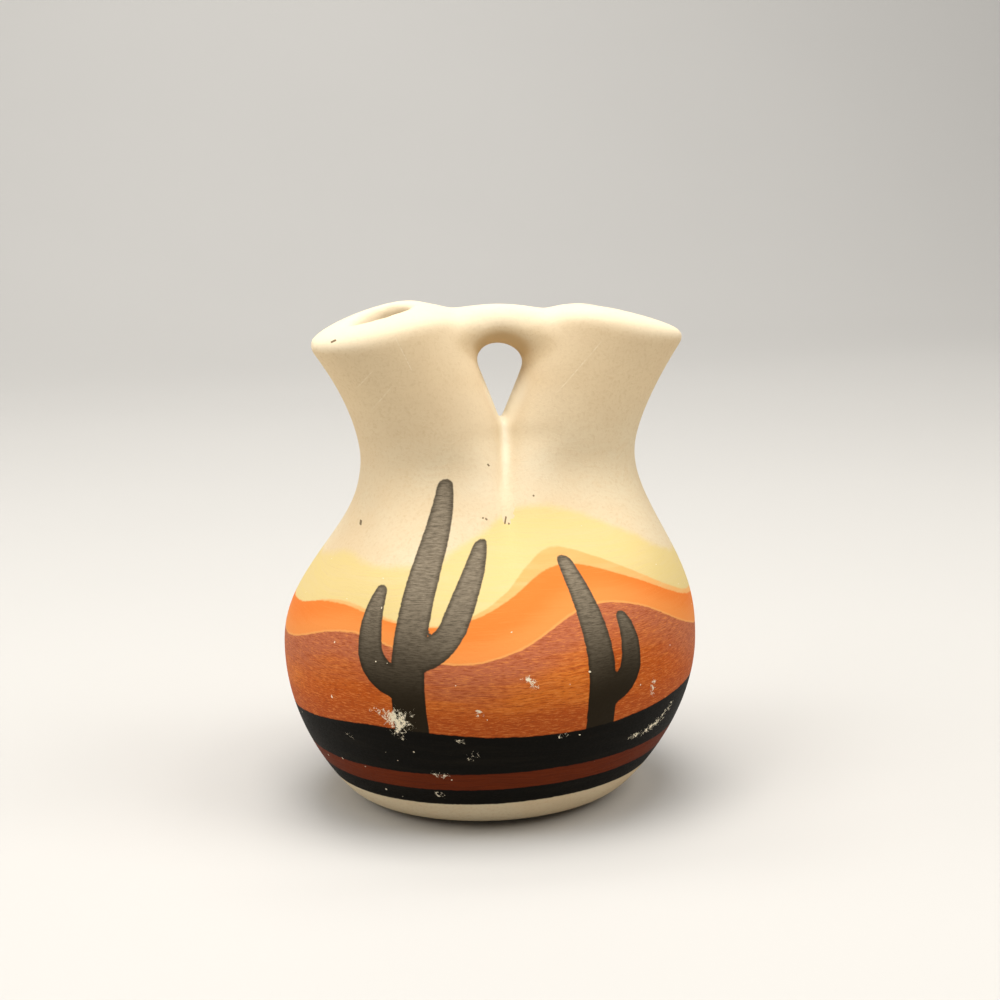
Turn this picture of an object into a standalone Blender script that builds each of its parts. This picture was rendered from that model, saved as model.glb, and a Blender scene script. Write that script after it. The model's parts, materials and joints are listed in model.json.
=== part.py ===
"""Wedding vase: a round clay body that closes into two leaning spouts joined by a bridge handle.

The pieces are the ones a potter lutes together: a base slab, the body wall raised on it, two
spouts set side by side on the body's oblong top, and a bridge handle between the spouts.
Metres, +Z up. The origin is the centre of the resting face. The spouts lie along X and the
front of the vase faces -Y.
"""

import math

import bmesh
import bpy
from mathutils import Vector

# Body: radii of the round part, and the height of the belly
BASE_RADIUS = 0.0326
BELLY_RADIUS = 0.0532
BELLY_HEIGHT = 0.0400

# Twin neck: the narrowest place, seen from the front and from the side
WAIST_HALF_WIDTH = 0.0353
WAIST_ABOVE_BELLY = 0.0480
NECK_HALF_DEPTH = 0.0175
NECK_DEPTH_ABOVE_BELLY = 0.0490

# Spouts: they stand on the body at the joint and part from each other at the crotch
JOINT_ABOVE_BELLY = 0.0390
CROTCH_ABOVE_JOINT = 0.0175
RIM_ABOVE_CROTCH = 0.0289
RIM_FALL = 0.0140
MOUTH_INNER_X = 0.0120
MOUTH_OUTER_X = 0.0465
MOUTH_HALF_DEPTH = 0.0168

# Bridge handle
BRIDGE_ABOVE_RIM = 0.0006
BRIDGE_THICKNESS = 0.0099
BRIDGE_HALF_DEPTH = 0.0062
BRIDGE_END_HALF_DEPTH = 0.0088
BRIDGE_TOP_DIP = 0.0024
BRIDGE_ARCH_RISE = 0.0045
BRIDGE_ARCH_HALF_SPAN = 0.0064

# Clay thickness and joints
WALL = 0.0045
LIP = 0.0110
LIP_HEIGHT = 0.0036
SLAB_THICKNESS = 0.0050
FOOT_ROUNDING = 0.0020
JOINT_GAP = 0.0003

# The clay leaned to one side in drying: the neck, then a little more at the top. One spout ended
# higher than the other, and the two rims are twisted apart, one nodding forward and one back
NECK_DRIFT = 0.0033
NECK_DRIFT_ABOVE_BELLY = 0.0400
TOP_DRIFT = 0.0009
TOP_DRIFT_ABOVE_NECK = 0.0300
RIM_SKEW = 0.0008
RIM_SKEW_REACH = 0.0200
RIM_TWIST = 0.0007

# Where the rim is highest across the mouth, from its inner side (0) to its outer side (1), and how
# gently it bends there
RIM_CREST = 0.24
RIM_BEND = 0.25

# Powers of the curves: base, shoulder, flare, arch, lip, and the crease between the spouts
BASE_FULLNESS = 0.71
SHOULDER_FULLNESS = 0.15
FLARE_CURVE = 1.6
ARCH_CURVE = 2.5
LIP_SQUARENESS = 3.8
CREASE_SQUARENESS = 7.0

# Facets
BODY_SIDES = 56
BODY_RINGS = 24
CAVITY_RINGS = 14
SPOUT_SIDES = 40
SPOUT_RINGS = 13
BORE_RINGS = 9
LIP_STEPS = 5
BRIDGE_SIDES = 24
BRIDGE_STATIONS = 23
FOOT_STEPS = 4

SMOOTH_ANGLE = math.radians(40)

# Heights that follow from the sizes above
WAIST_HEIGHT = BELLY_HEIGHT + WAIST_ABOVE_BELLY
NECK_DEPTH_HEIGHT = BELLY_HEIGHT + NECK_DEPTH_ABOVE_BELLY
JOINT_HEIGHT = BELLY_HEIGHT + JOINT_ABOVE_BELLY
CROTCH_HEIGHT = JOINT_HEIGHT + CROTCH_ABOVE_JOINT
RIM_HEIGHT = CROTCH_HEIGHT + RIM_ABOVE_CROTCH
BRIDGE_TOP_HEIGHT = RIM_HEIGHT + BRIDGE_ABOVE_RIM
SPOUT_FOOT = JOINT_HEIGHT + JOINT_GAP


def mix(a, b, t):
    """The value t of the way from a to b."""
    return a + (b - a) * t


def ease(t):
    """0 to 1 along half a cosine wave, level at both ends."""
    return 0.5 - 0.5 * math.cos(math.pi * min(max(t, 0.0), 1.0))


def steps(low, high, count):
    """Evenly spaced values from low to high, both ends included."""
    return [mix(low, high, i / (count - 1)) for i in range(count)]


def drift(z):
    """How far the clay at height z has leaned towards +X."""
    above_belly = z - BELLY_HEIGHT
    neck = NECK_DRIFT * ease(above_belly / NECK_DRIFT_ABOVE_BELLY)
    return neck + TOP_DRIFT * ease((above_belly - NECK_DRIFT_ABOVE_BELLY) / TOP_DRIFT_ABOVE_NECK)


def settled(x, y, z):
    """A point of the twin neck after drying: leaned to +X, and lower on that side at the rim."""
    side = min(max(x / RIM_SKEW_REACH, -1.0), 1.0)
    sunk = side * (RIM_SKEW + RIM_TWIST * y / MOUTH_HALF_DEPTH)
    sunk *= ease((z - JOINT_HEIGHT) / (RIM_HEIGHT - JOINT_HEIGHT))
    return Vector((x + drift(z), y, z - sunk))


# Outline of the vase

def wall_end(across):
    """Height where a spout's wall ends under its lip, from its inner (0) to its outer side (1)."""
    fall = RIM_FALL * (math.hypot(across - RIM_CREST, RIM_BEND) - RIM_BEND)
    return RIM_HEIGHT - LIP_HEIGHT - fall


def half_width(z):
    """Half of the vase's width along X: a belly, a waist, then the flare of the spouts."""
    if z < BELLY_HEIGHT:
        swell = math.sin(0.5 * math.pi * z / BELLY_HEIGHT)
        return mix(BASE_RADIUS, BELLY_RADIUS, swell ** BASE_FULLNESS)
    if z < WAIST_HEIGHT:
        fall = (z - BELLY_HEIGHT) / WAIST_ABOVE_BELLY
        fall = fall ** (1 + SHOULDER_FULLNESS * (1 - fall))
        return mix(BELLY_RADIUS, WAIST_HALF_WIDTH, ease(fall))
    rise = (z - WAIST_HEIGHT) / (wall_end(1.0) - WAIST_HEIGHT)
    return mix(WAIST_HALF_WIDTH, MOUTH_OUTER_X, rise ** FLARE_CURVE)


def half_depth(z):
    """Half of the vase's depth along Y, which narrows more than the width above the belly."""
    if z < BELLY_HEIGHT:
        return half_width(z)
    if z < NECK_DEPTH_HEIGHT:
        fall = ease((z - BELLY_HEIGHT) / NECK_DEPTH_ABOVE_BELLY)
        return mix(BELLY_RADIUS, NECK_HALF_DEPTH, fall)
    rise = (z - NECK_DEPTH_HEIGHT) / (RIM_HEIGHT - NECK_DEPTH_HEIGHT)
    return mix(NECK_HALF_DEPTH, MOUTH_HALF_DEPTH, ease(rise))


def parting(z):
    """Half of the space between the spouts: a joint up to the crotch, then they lean apart."""
    rise = max(z - CROTCH_HEIGHT, 0.0) / RIM_ABOVE_CROTCH
    return mix(0.5 * JOINT_GAP, MOUTH_INNER_X, rise)


def twin_radius(angle, width, depth):
    """Distance from the axis to the outline of two spouts side by side, at this angle."""
    centre = 0.5 * width
    c, s = abs(math.cos(angle)), abs(math.sin(angle))
    if s > 1e-9 and depth * c <= centre * s:
        return depth / s
    return 2 * c / centre / ((c / centre) ** 2 + (s / depth) ** 2)


def round_radius(angle, width, depth):
    """Distance from the axis to an ellipse, at this angle."""
    return 1.0 / math.hypot(math.cos(angle) / width, math.sin(angle) / depth)


def body_loop(z, inset=0.0):
    """One level ring of the body, round at the belly and oblong at the spouts' joint."""
    width, depth = half_width(z) - inset, half_depth(z) - inset
    squaring = ease((z - BELLY_HEIGHT) / JOINT_ABOVE_BELLY)
    loop = []
    for i in range(BODY_SIDES):
        angle = 2 * math.pi * i / BODY_SIDES
        radius = mix(round_radius(angle, width, depth), twin_radius(angle, width, depth), squaring)
        loop.append(Vector((radius * math.cos(angle) + drift(z), radius * math.sin(angle), z)))
    return loop


def spout_loop(t, side, inset=0.0):
    """One ring of a spout, t of the way from its foot to its lip.

    side is -1 for the left spout and 1 for the right one. The ring is level at the foot and
    leans with the rim at the lip. Its inner half is flat where the spouts touch each other.
    """
    z_in = mix(SPOUT_FOOT, wall_end(0.0), t)
    z_out = mix(SPOUT_FOOT, wall_end(1.0), t)
    x_in, x_out = parting(z_in) + inset, half_width(z_out) - inset
    centre, reach = 0.5 * (x_in + x_out), 0.5 * (x_out - x_in)
    depth = half_depth(0.5 * (z_in + z_out)) - inset
    parted = ease((z_in - SPOUT_FOOT) / CROTCH_ABOVE_JOINT)
    power = 2.0 / mix(CREASE_SQUARENESS, 2.0, parted)
    loop = []
    for i in range(SPOUT_SIDES):
        angle = 2 * math.pi * i / SPOUT_SIDES
        c, s = math.cos(angle), math.sin(angle)
        bend = power if c < 0 else 1.0
        x = centre + math.copysign(reach * abs(c) ** bend, c)
        y = math.copysign(depth * abs(s) ** bend, s)
        z = mix(SPOUT_FOOT, wall_end((x - x_in) / (x_out - x_in)), t)
        loop.append(settled(side * x, y, z))
    return loop if side > 0 else loop[::-1]


def bore_inset(t):
    """Thickness of a spout's wall, t of the way from its foot to its lip."""
    return mix(WALL, LIP, ease(2 * t - 1))


# Meshes

def add_object(name, bm, material):
    """Puts a finished bmesh in the scene as one smooth-shaded object."""
    bmesh.ops.recalc_face_normals(bm, faces=bm.faces)
    mesh = bpy.data.meshes.new(name)
    bm.to_mesh(mesh)
    bm.free()
    mesh.shade_smooth()
    mesh.set_sharp_from_angle(angle=SMOOTH_ANGLE)
    obj = bpy.data.objects.new(name, mesh)
    if material:
        mesh.materials.append(material)
    bpy.context.scene.collection.objects.link(obj)
    return obj


def skin(loops, close_ends=False, ring=False):
    """A bmesh of quads through loops of equal length: capped ends, or a ring back to the first."""
    bm = bmesh.new()
    rows = [[bm.verts.new(point) for point in loop] for loop in loops]
    pairs = list(zip(rows, rows[1:]))
    if ring:
        pairs.append((rows[-1], rows[0]))
    for low, high in pairs:
        for i in range(len(low)):
            j = (i + 1) % len(low)
            bm.faces.new((low[i], low[j], high[j], high[i]))
    if close_ends:
        bm.faces.new(rows[0][::-1])
        bm.faces.new(rows[-1])
    return bm


def clay(name, colour, roughness):
    """A fired clay or clay paint finish."""
    material = bpy.data.materials.new(name)
    material.use_nodes = True
    shader = material.node_tree.nodes["Principled BSDF"]
    shader.inputs["Base Color"].default_value = (*colour, 1.0)
    shader.inputs["Roughness"].default_value = roughness
    shader.inputs["Metallic"].default_value = 0.0
    return material


# Pieces

def base_slab(material):
    """The floor: a disc with a rounded foot edge, as wide on top as the wall that stands on it."""
    loops = []
    for i in range(FOOT_STEPS + 1):
        turn = 0.5 * math.pi * i / FOOT_STEPS
        z = FOOT_ROUNDING * (1 - math.cos(turn))
        pull = FOOT_ROUNDING * (1 - math.sin(turn))
        loops.append(body_loop(z, inset=pull))
    loops.append(body_loop(SLAB_THICKNESS))
    return add_object("base_slab", skin(loops, close_ends=True), material)


def body(material):
    """The wall from the slab to the spouts' joint: a round belly that closes to an oblong top."""
    foot = SLAB_THICKNESS + JOINT_GAP
    outside = [body_loop(z) for z in steps(foot, JOINT_HEIGHT, BODY_RINGS)]
    inside = [body_loop(z, WALL) for z in steps(JOINT_HEIGHT, foot, CAVITY_RINGS)]
    return add_object("body", skin(outside + inside, ring=True), material)


def spout(name, side, material):
    """One leaning tube from the joint to a broad lip that slopes out from the mouth's edge."""
    outside = [spout_loop(t, side) for t in steps(0, 1, SPOUT_RINGS)]
    inside = [spout_loop(t, side, bore_inset(t)) for t in steps(1, 0, BORE_RINGS)]
    lip = []
    for i in range(1, LIP_STEPS + 1):
        turn = 0.5 * math.pi * i / LIP_STEPS
        out = max(math.cos(turn), 0.0) ** (2 / LIP_SQUARENESS)
        high = math.sin(turn) ** (2 / LIP_SQUARENESS)
        ring = []
        for below, outer, inner in zip(outside[-2], outside[-1], inside[0]):
            up = (outer - below).normalized() * LIP_HEIGHT
            ring.append(inner + (outer - inner) * out + up * high)
        lip.append(ring)
    return add_object(name, skin(outside + lip + inside, ring=True), material)


def spout_cutter(name, side):
    """A spout's outside with the joint gap added, filled and carried on past the lip."""
    loops = [spout_loop(t, side, -JOINT_GAP) for t in steps(0, 1, SPOUT_RINGS)]
    loops.append([top + 3 * (top - low) for low, top in zip(loops[-2], loops[-1])])
    cutter = add_object(name, skin(loops, close_ends=True), None)
    cutter.hide_render = True
    cutter.display_type = "WIRE"
    return cutter


def bridge_handle(material, cutters):
    """A bar that arches between the spouts and swells where it is pressed onto them."""
    reach = MOUTH_INNER_X + WALL
    loops = []
    for x in steps(-reach, reach, BRIDGE_STATIONS):
        out = min(abs(x) / MOUTH_INNER_X, 1.0)
        top = BRIDGE_TOP_HEIGHT - BRIDGE_TOP_DIP * out ** 2
        spring = min(abs(x) / BRIDGE_ARCH_HALF_SPAN, 1.0) ** ARCH_CURVE
        bottom = BRIDGE_TOP_HEIGHT - BRIDGE_THICKNESS - BRIDGE_ARCH_RISE * spring
        half_height, middle = 0.5 * (top - bottom), 0.5 * (top + bottom)
        depth = mix(BRIDGE_HALF_DEPTH, BRIDGE_END_HALF_DEPTH, out ** 2)
        loop = []
        for i in range(BRIDGE_SIDES):
            angle = 2 * math.pi * i / BRIDGE_SIDES
            y, z = depth * math.cos(angle), middle + half_height * math.sin(angle)
            loop.append(settled(x, y, z))
        loops.append(loop)
    handle = add_object("bridge_handle", skin(loops, close_ends=True), material)
    for cutter in cutters:
        cut = handle.modifiers.new(cutter.name, "BOOLEAN")
        cut.operation = "DIFFERENCE"
        cut.object = cutter
    return handle


def main():
    for obj in list(bpy.data.objects):
        bpy.data.objects.remove(obj)
    bare = clay("bare_clay", (0.80, 0.70, 0.55), 0.85)
    white = clay("white_slip", (0.86, 0.77, 0.63), 0.75)
    painted = clay("painted_clay", (0.38, 0.12, 0.05), 0.6)
    base_slab(bare)
    body(painted)
    spout("left_spout", -1, white)
    spout("right_spout", 1, white)
    cutters = [spout_cutter("left_spout_cutter", -1), spout_cutter("right_spout_cutter", 1)]
    bridge_handle(white, cutters)


main()
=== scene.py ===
"""Wedding vase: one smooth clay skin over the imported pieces, painted by brush, on a pale floor.

Metres, +Z up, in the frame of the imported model. The two spouts lie along X and the painted
front faces -Y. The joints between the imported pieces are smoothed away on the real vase, so a
single skin stands for all of them.
"""

import json
import math

import bpy
import numpy as np
import openvdb
from mathutils import Euler, Matrix, Vector

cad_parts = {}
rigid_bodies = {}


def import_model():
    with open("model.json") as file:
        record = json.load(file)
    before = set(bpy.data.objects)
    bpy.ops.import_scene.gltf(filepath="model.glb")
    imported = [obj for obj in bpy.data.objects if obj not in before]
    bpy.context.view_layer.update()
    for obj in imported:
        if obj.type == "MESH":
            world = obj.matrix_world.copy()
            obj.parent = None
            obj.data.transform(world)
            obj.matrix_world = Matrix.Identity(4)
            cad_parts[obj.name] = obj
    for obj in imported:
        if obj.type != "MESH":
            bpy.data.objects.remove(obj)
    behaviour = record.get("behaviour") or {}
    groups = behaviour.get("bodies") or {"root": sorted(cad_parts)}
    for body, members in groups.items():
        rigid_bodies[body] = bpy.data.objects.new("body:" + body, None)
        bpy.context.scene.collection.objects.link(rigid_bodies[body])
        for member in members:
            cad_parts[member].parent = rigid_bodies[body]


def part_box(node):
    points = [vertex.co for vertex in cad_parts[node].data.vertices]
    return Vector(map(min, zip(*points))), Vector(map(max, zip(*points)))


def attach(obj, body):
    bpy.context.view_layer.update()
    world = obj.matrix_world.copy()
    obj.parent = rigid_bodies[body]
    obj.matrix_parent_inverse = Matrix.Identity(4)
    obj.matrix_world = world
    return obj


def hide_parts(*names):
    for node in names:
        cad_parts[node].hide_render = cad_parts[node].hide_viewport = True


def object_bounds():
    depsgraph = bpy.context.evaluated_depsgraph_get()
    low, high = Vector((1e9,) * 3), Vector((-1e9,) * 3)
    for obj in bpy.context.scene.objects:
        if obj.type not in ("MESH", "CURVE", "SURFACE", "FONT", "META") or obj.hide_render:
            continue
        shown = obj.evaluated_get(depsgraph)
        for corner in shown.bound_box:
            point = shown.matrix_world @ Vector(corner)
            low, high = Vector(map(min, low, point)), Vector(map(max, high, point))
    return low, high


for leftover in list(bpy.data.objects):
    bpy.data.objects.remove(leftover)
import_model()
CAD_LOW, CAD_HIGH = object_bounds()
BODY_LOW, BODY_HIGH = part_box("body")
SLAB_LOW, SLAB_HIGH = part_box("base_slab")

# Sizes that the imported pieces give
BELLY_RADIUS = 0.5 * (BODY_HIGH.x - BODY_LOW.x)
JOINT_HEIGHT = BODY_HIGH.z
SLAB_TOP = SLAB_HIGH.z

# Outline of the clay, close to that of the pieces
BASE_RADIUS = 0.0321
BASE_FULLNESS = 0.71
SHOULDER_FULLNESS = 0.15
BELLY_HEIGHT = 0.0400
WAIST_HALF_WIDTH = 0.0353
WAIST_HEIGHT = 0.0880
NECK_HALF_DEPTH = 0.0175
NECK_DEPTH_HEIGHT = 0.0890
FLARE_CURVE = 1.6

# Crotch between the spouts, and the crease below it
CROTCH_HEIGHT = 0.0957
CREASE_HEIGHT = 0.0710
CREASE_DEPTH = 0.0100
CREASE_LEAN = -0.0022
CREASE_SQUARENESS = 7.0
GAP_SHIFT = 0.0005
ROUND = 2.0

# Rims: highest at the crest, which is given from the inner (0) to the outer side (1) of a mouth
RIM_HEIGHT = 0.1255
RIM_FALL = 0.0140
RIM_CREST = 0.24
RIM_BEND = 0.25
RIM_SKEW = 0.0008
RIM_SKEW_REACH = 0.020
RIM_TWIST = 0.0009
MOUTH_INNER_X = 0.0120
MOUTH_CENTRE_X = 0.0295
MOUTH_OUTER_X = 0.0470
MOUTH_OUTER_HEIGHT = 0.1150
MOUTH_HALF_DEPTH = 0.0168

# Thickness of the wall, and of the lip at the ends of a mouth and at its front and back
WALL = 0.0045
LIP = 0.0116
LIP_FRONT = 0.0098
LIP_HEIGHT = 0.0036
LIP_SLOPE = 0.93
LIP_SQUARENESS = 3.8
LIP_FRONT_SQUARENESS = 2.3
LIP_BEVEL = 0.0012
FLOOR_REACH = 0.8

# How far the clay settled sideways: at the foot, at the neck and at the top
BASE_DRIFT = -0.0016
BASE_DRIFT_CURVE = 1.5
NECK_DRIFT = 0.0033
NECK_DRIFT_HEIGHT = 0.0800
TOP_DRIFT = 0.0009
TOP_DRIFT_HEIGHT = 0.1100

# Bridge handle
BRIDGE_TOP = 0.1260
BRIDGE_THICKNESS = 0.0099
BRIDGE_HALF_DEPTH = 0.0062
BRIDGE_END_HALF_DEPTH = 0.0088
BRIDGE_TOP_DIP = 0.0024
BRIDGE_ARCH_RISE = 0.0030
BRIDGE_ARCH_HALF_SPAN = 0.0064
BRIDGE_ARCH_SLANT = 0.13
BRIDGE_END_X = 0.0150

# How softly the clay was smoothed where pieces meet and at the edges
SHOULDER_BLEND = (0.056, 0.084)
CREASE_FILL = 0.0042
CROTCH_FILL = 0.0015
BRIDGE_FILL = 0.004
FLOOR_FILL = 0.004
LIP_EDGE = 0.0022
BORE_EDGE = 0.001
FOOT_SOFTNESS = 0.0040

# Limits of the field's steepness, which is found from the grid, and the most by which dividing by
# it may lessen the depth of a point inside the clay, so that the hollow stays open
STEEPNESS_RANGE = (0.4, 3.0)
HOLLOW_SLACK = 0.0040

# Mesh of the skin
VOXEL = 0.00106
MARGIN_CELLS = 4
RIM_PASSES = 6
SMOOTHING_STEPS = 5

# Guards against division by nothing
SMALL = 1e-6
TINY = 1e-9


def mix(a, b, t):
    """The value t of the way from a to b."""
    return a + (b - a) * t


def ease(t):
    """0 to 1 along half a cosine wave, level at both ends."""
    return 0.5 - 0.5 * np.cos(np.pi * np.clip(t, 0.0, 1.0))


def ramp(value, start, end):
    """0 at the start and before it, 1 at the end and past it, eased between."""
    return ease((value - start) / (end - start))


def soft_min(a, b, k):
    """The lesser of two fields, rounded over a distance k where they meet."""
    h = np.clip(1.0 - np.abs(a - b) / k, 0.0, 1.0)
    return np.minimum(a, b) - 0.25 * k * h * h


def soft_max(a, b, k):
    """The greater of two fields, rounded over a distance k where they meet."""
    return -soft_min(-a, -b, k)


# Outline

def drift(z):
    """How far the clay at height z has settled towards +X."""
    low = BASE_DRIFT * np.clip(1 - z / BELLY_HEIGHT, 0.0, 1.0) ** BASE_DRIFT_CURVE
    neck = NECK_DRIFT * ramp(z, BELLY_HEIGHT, NECK_DRIFT_HEIGHT)
    top = TOP_DRIFT * ramp(z, NECK_DRIFT_HEIGHT, TOP_DRIFT_HEIGHT)
    return low + neck + top


def half_width(z):
    """Half of the vase's width along X: a belly, a waist, then the flare of the spouts."""
    swell = np.sin(0.5 * np.pi * np.clip(z / BELLY_HEIGHT, 0.0, 1.0))
    low = mix(BASE_RADIUS, BELLY_RADIUS, swell ** BASE_FULLNESS)
    fall = np.clip((z - BELLY_HEIGHT) / (WAIST_HEIGHT - BELLY_HEIGHT), 0.0, 1.0)
    fall = ease(fall ** (1 + SHOULDER_FULLNESS * (1 - fall)))
    middle = mix(BELLY_RADIUS, WAIST_HALF_WIDTH, fall)
    rise = np.clip((z - WAIST_HEIGHT) / (MOUTH_OUTER_HEIGHT - WAIST_HEIGHT), 0.0, None)
    high = mix(WAIST_HALF_WIDTH, MOUTH_OUTER_X, rise ** FLARE_CURVE)
    return np.where(z < BELLY_HEIGHT, low, np.where(z < WAIST_HEIGHT, middle, high))


def half_depth(z):
    """Half of the vase's depth along Y, which narrows more than the width above the belly."""
    middle = mix(BELLY_RADIUS, NECK_HALF_DEPTH, ramp(z, BELLY_HEIGHT, NECK_DEPTH_HEIGHT))
    high = mix(NECK_HALF_DEPTH, MOUTH_HALF_DEPTH, ramp(z, NECK_DEPTH_HEIGHT, RIM_HEIGHT))
    upper = np.where(z < NECK_DEPTH_HEIGHT, middle, high)
    return np.where(z < BELLY_HEIGHT, half_width(z), upper)


def parting(z):
    """Half of the space between the spouts above the crotch."""
    rise = np.clip((z - CROTCH_HEIGHT) / (RIM_HEIGHT - CROTCH_HEIGHT), 0.0, None)
    return MOUTH_INNER_X * rise


def above_crease(z):
    """0 where the crease between the spouts begins, 1 from the crotch up."""
    return ramp(z, CREASE_HEIGHT, CROTCH_HEIGHT)


def from_gap(x, z):
    """Distance along X from the middle of the gap. The gap sits a little to the right of the neck's
    middle, and the crease below it leans to the left."""
    x = x - drift(z)
    shift = GAP_SHIFT + CREASE_LEAN * (1 - above_crease(z))
    return x - shift * (1 - np.clip(np.abs(x) / WAIST_HALF_WIDTH, 0.0, 1.0) ** 2)


# Fields: below zero inside the clay's outside, in metres near it

def body_field(x, y, z):
    """The round body, whose sections square up towards the oblong top."""
    x = x - drift(z)
    width, depth = half_width(z), half_depth(z)
    radius = np.hypot(x, y) + TINY
    c, s = np.abs(x) / radius, np.abs(y) / radius
    oval = 1.0 / np.hypot(c / width, s / depth)
    centre = 0.5 * width
    flat = depth / np.maximum(s, SMALL)
    lobe = 2 * c / centre / ((c / centre) ** 2 + (s / depth) ** 2)
    twin = np.where(depth * c <= centre * s, flat, lobe)
    return radius - mix(oval, twin, ramp(z, BELLY_HEIGHT, JOINT_HEIGHT))


def wall_rise(across):
    """How far the spout's wall rises above the joint, from its inner (0) to its outer side (1)."""
    fall = RIM_FALL * (np.hypot(across - RIM_CREST, RIM_BEND) - RIM_BEND)
    return RIM_HEIGHT - LIP_HEIGHT - JOINT_HEIGHT - fall


def spout_field(x, y, z):
    """A spout on the +X side of the neck axis. Also gives how far up it a point is, and how far
    above the end of its wall."""
    rise_in, rise_out = wall_rise(0.0), wall_rise(1.0)
    across = np.full_like(x, 0.5)
    for _ in range(RIM_PASSES):
        full = wall_rise(across)
        t = (z - JOINT_HEIGHT) / full
        z_in, z_out = JOINT_HEIGHT + rise_in * t, JOINT_HEIGHT + rise_out * t
        x_in, x_out = parting(z_in), half_width(z_out)
        across = np.clip((x - x_in) / (x_out - x_in), 0.0, 1.0)
    centre, reach = 0.5 * (x_in + x_out), 0.5 * (x_out - x_in)
    depth = half_depth(0.5 * (z_in + z_out))
    power = np.where(x < centre, mix(CREASE_SQUARENESS, ROUND, above_crease(z_in)), ROUND)
    u = (np.abs((x - centre) / reach) ** power + np.abs(y / depth) ** power) ** (1 / power)
    away = np.hypot(x - centre, y)
    return away - away / np.maximum(u, SMALL), t, z - JOINT_HEIGHT - full


def bridge_field(x, y, z):
    """The arched bar between the spouts."""
    x = from_gap(x, z)
    slant = BRIDGE_ARCH_SLANT * np.clip(x, -BRIDGE_ARCH_HALF_SPAN, BRIDGE_ARCH_HALF_SPAN)
    x = np.abs(x)
    out = np.clip(x / MOUTH_INNER_X, 0.0, 1.0)
    top = BRIDGE_TOP - BRIDGE_TOP_DIP * out ** 2
    spring = np.clip(x / BRIDGE_ARCH_HALF_SPAN, 0.0, 1.0) ** 2
    bottom = BRIDGE_TOP - BRIDGE_THICKNESS - BRIDGE_ARCH_RISE * spring - slant
    tall, middle = 0.5 * (top - bottom), 0.5 * (top + bottom)
    depth = mix(BRIDGE_HALF_DEPTH, BRIDGE_END_HALF_DEPTH, out ** 2)
    u = np.hypot(y / depth, (z - middle) / tall)
    bar = np.hypot(y, z - middle) * (1 - 1 / np.maximum(u, SMALL))
    return np.maximum(bar, x - BRIDGE_END_X)


def vase_field(x, y, z, spacing):
    """The whole vase on a grid of points: walls, floor, lips and bridge as one body of clay."""
    # One rim is higher than the other, and they are twisted apart
    side = np.clip((x - drift(z)) / RIM_SKEW_REACH, -1.0, 1.0)
    sunk = side * (RIM_SKEW + RIM_TWIST * np.clip(y / MOUTH_HALF_DEPTH, -1.0, 1.0))
    z = z + sunk * ramp(z, JOINT_HEIGHT, RIM_HEIGHT)

    # The outside: the body below, the two spouts above
    neck_x = np.abs(from_gap(x, z))
    near, t, above_rim = spout_field(neck_x, y, z)
    far, _, _ = spout_field(-neck_x, y, z)
    outward = ease(np.abs(y) / CREASE_DEPTH)
    fill = mix(CREASE_FILL, mix(CROTCH_FILL, CREASE_FILL, outward), above_crease(z))
    spouts = soft_min(near, far, fill)
    outside = mix(body_field(x, y, z), spouts, ramp(z, *SHOULDER_BLEND))
    steepness = np.sqrt(sum(g * g for g in np.gradient(outside, spacing)))
    true_depth = outside / np.clip(steepness, *STEEPNESS_RANGE)
    outside = np.minimum(true_depth, outside + HOLLOW_SLACK)

    # The wall and its rounded lip
    frontness = y * y / (y * y + (neck_x - MOUTH_CENTRE_X) ** 2 + TINY)
    wall = mix(WALL, mix(LIP, LIP_FRONT, frontness), ease(2 * t - 1))
    inward = np.maximum(outside + wall, 0.0) / wall
    bevel = LIP_BEVEL * frontness
    cap = np.maximum(LIP_SLOPE * (above_rim + bevel), 0.0) / (LIP_HEIGHT + bevel)
    power = mix(LIP_SQUARENESS, LIP_FRONT_SQUARENESS, frontness)
    lip = (inward ** power + cap ** power) ** (1 / power)
    crown = (lip - 1) * mix(wall, LIP_HEIGHT, np.clip(cap, 0.0, 1.0))
    shell = soft_max(np.where(cap > 0, crown, outside), -(outside + wall), LIP_EDGE)

    # The floor, the bridge and the foot
    floor = np.maximum(outside + FLOOR_REACH * wall, z - SLAB_TOP)
    vase = soft_min(shell, floor, FLOOR_FILL)
    joined = soft_min(vase, bridge_field(x, y, z), BRIDGE_FILL)
    joined = soft_max(joined, -(outside + wall), BORE_EDGE)
    vase = np.where(z > CROTCH_HEIGHT, joined, vase)
    return soft_max(vase, -z, FOOT_SOFTNESS)


def main_body(faces, count):
    """The faces of the largest connected body, without stray crumbs."""
    parent = list(range(count))

    def root(i):
        while parent[i] != i:
            parent[i] = parent[parent[i]]
            i = parent[i]
        return i

    for face in faces:
        for i in face[1:]:
            parent[root(i)] = root(face[0])
    sizes = {}
    for face in faces:
        sizes[root(face[0])] = sizes.get(root(face[0]), 0) + 1
    largest = max(sizes, key=sizes.get)
    return [face for face in faces if root(face[0]) == largest]


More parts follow.
